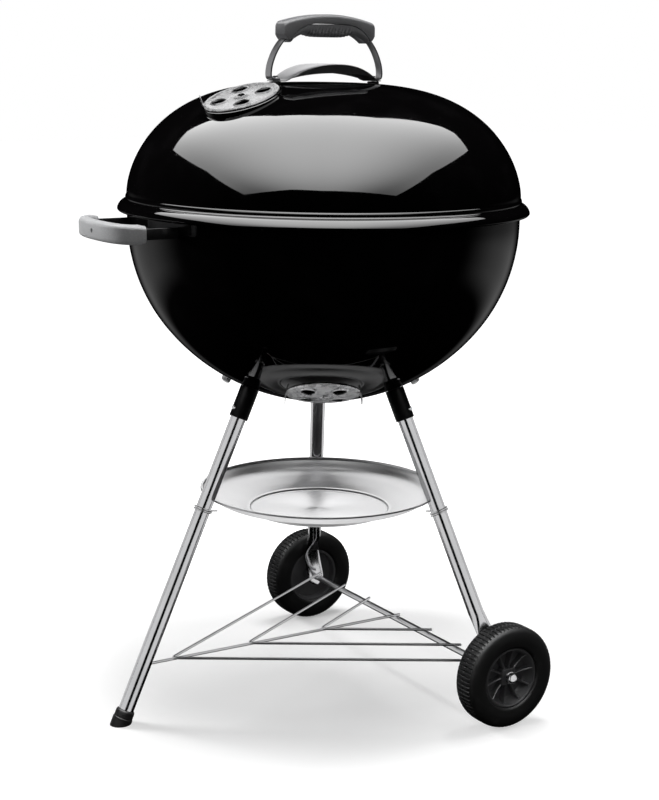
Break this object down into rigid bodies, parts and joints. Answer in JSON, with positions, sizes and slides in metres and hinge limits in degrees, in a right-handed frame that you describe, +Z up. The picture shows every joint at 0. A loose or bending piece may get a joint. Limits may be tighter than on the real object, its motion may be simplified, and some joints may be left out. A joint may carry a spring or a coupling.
{
  "type": "kettle charcoal grill",
  "caption": "Round kettle charcoal grill with a domed lid, turning vents, tube tripod with wheels, ash pan and wire shelf.",
  "frame": {"origin": "on the floor under the middle of the bounding box; the kettle axis stands 0.0335 m from it towards +X", "axes": "+Z up along the kettle axis; the plain leg and the bowl handle point along -X; the axle runs along Y on the +X side"},
  "size_m": [0.657, 0.59, 0.9937],
  "materials": {
    "enamel_black": "high-gloss porcelain enamel",
    "bracket_black": "satin black paint",
    "leg_steel": "satin plated steel tube",
    "bright_steel": "bright plated steel",
    "wire_steel": "bright drawn wire",
    "grate_steel": "plated steel wire",
    "strap_steel": "satin steel",
    "vent_aluminium": "stamped, mottled",
    "pan_aluminium": "spun and brushed",
    "grip_grey": "grey glass-filled nylon",
    "black_plastic": "satin moulded",
    "tyre_black": "moulded tread"
  },
  "bodies": {
    "stand": {"bowl": "enamel_black", "leg_socket_plain": "bracket_black", "leg_socket_left": "bracket_black", "leg_socket_right": "bracket_black", "side_handle_bracket": "bracket_black", "side_handle_grip": "grip_grey", "side_handle_screw": "bright_steel", "leg_plain": "leg_steel", "leg_left": "leg_steel", "leg_right": "leg_steel", "axle": "leg_steel", "lock_button_plain": "bright_steel", "lock_button_left": "bright_steel", "lock_button_right": "bright_steel", "axle_cap_left": "bright_steel", "axle_cap_right": "bright_steel", "damper_rivet_front": "bright_steel", "damper_rivet_left": "bright_steel", "damper_rivet_right": "bright_steel", "pan_clip_plain": "wire_steel", "pan_clip_left": "wire_steel", "pan_clip_right": "wire_steel", "bottom_rack": "wire_steel", "grate_bracket_1": "grate_steel", "grate_bracket_2": "grate_steel", "grate_bracket_3": "grate_steel", "grate_bracket_4": "grate_steel", "ash_pan": "pan_aluminium", "foot_cap": "black_plastic"},
    "lid": {"lid": "enamel_black", "lid_handle_strap": "strap_steel", "lid_handle_cap": "grip_grey", "lid_handle_insert": "grip_grey", "lid_heat_shield": "strap_steel", "handle_seat_near": "black_plastic", "handle_seat_far": "black_plastic", "handle_bolt_near": "bright_steel", "handle_bolt_far": "bright_steel", "top_damper_rivet": "bright_steel"},
    "top_damper": {"top_damper": "vent_aluminium"},
    "bottom_damper_front": {"bottom_damper_front": "vent_aluminium"},
    "bottom_damper_left": {"bottom_damper_left": "vent_aluminium"},
    "bottom_damper_right": {"bottom_damper_right": "vent_aluminium"},
    "wheel_left": {"tyre_left": "tyre_black", "wheel_hub_left": "black_plastic"},
    "wheel_right": {"tyre_right": "tyre_black", "wheel_hub_right": "black_plastic"},
    "cooking_grate": {"cooking_grate": "grate_steel"},
    "charcoal_grate": {"charcoal_grate": "grate_steel"}
  },
  "joints": [
    {"name": "lid_lift", "type": "slide", "parent": "stand", "child": "lid", "axis": [0, 0, 1], "range_m": [0, 0.35]},
    {"name": "top_damper_turn", "type": "hinge", "parent": "lid", "child": "top_damper", "pos_m": [-0.12907, -0.0497, 0.8797], "axis": [-0.3469, -0.1061, 0.9319], "range_deg": [0, 45]},
    {"name": "bottom_damper_front_turn", "type": "hinge", "parent": "stand", "child": "bottom_damper_front", "pos_m": [-0.03033, -0.11055, 0.47298], "axis": [-0.2192, -0.3796, -0.8988], "range_deg": [0, 45]},
    {"name": "bottom_damper_left_turn", "type": "hinge", "parent": "stand", "child": "bottom_damper_left", "pos_m": [-0.03033, 0.11055, 0.47298], "axis": [-0.2192, 0.3796, -0.8988], "range_deg": [0, 45]},
    {"name": "bottom_damper_right_turn", "type": "hinge", "parent": "stand", "child": "bottom_damper_right", "pos_m": [0.16115, 0, 0.47298], "axis": [0.4384, 0, -0.8988], "range_deg": [0, 45]},
    {"name": "wheel_left_spin", "type": "hinge", "parent": "stand", "child": "wheel_left", "pos_m": [0.18077, 0.2708, 0.075], "axis": [0, 1, 0], "continuous": true},
    {"name": "wheel_right_spin", "type": "hinge", "parent": "stand", "child": "wheel_right", "pos_m": [0.18077, -0.2708, 0.075], "axis": [0, 1, 0], "continuous": true},
    {"name": "cooking_grate_lift", "type": "slide", "parent": "stand", "child": "cooking_grate", "axis": [0, 0, 1], "range_m": [0, 0.05]},
    {"name": "charcoal_grate_lift", "type": "slide", "parent": "stand", "child": "charcoal_grate", "axis": [0, 0, 1], "range_m": [0, 0.095]}
  ]
}
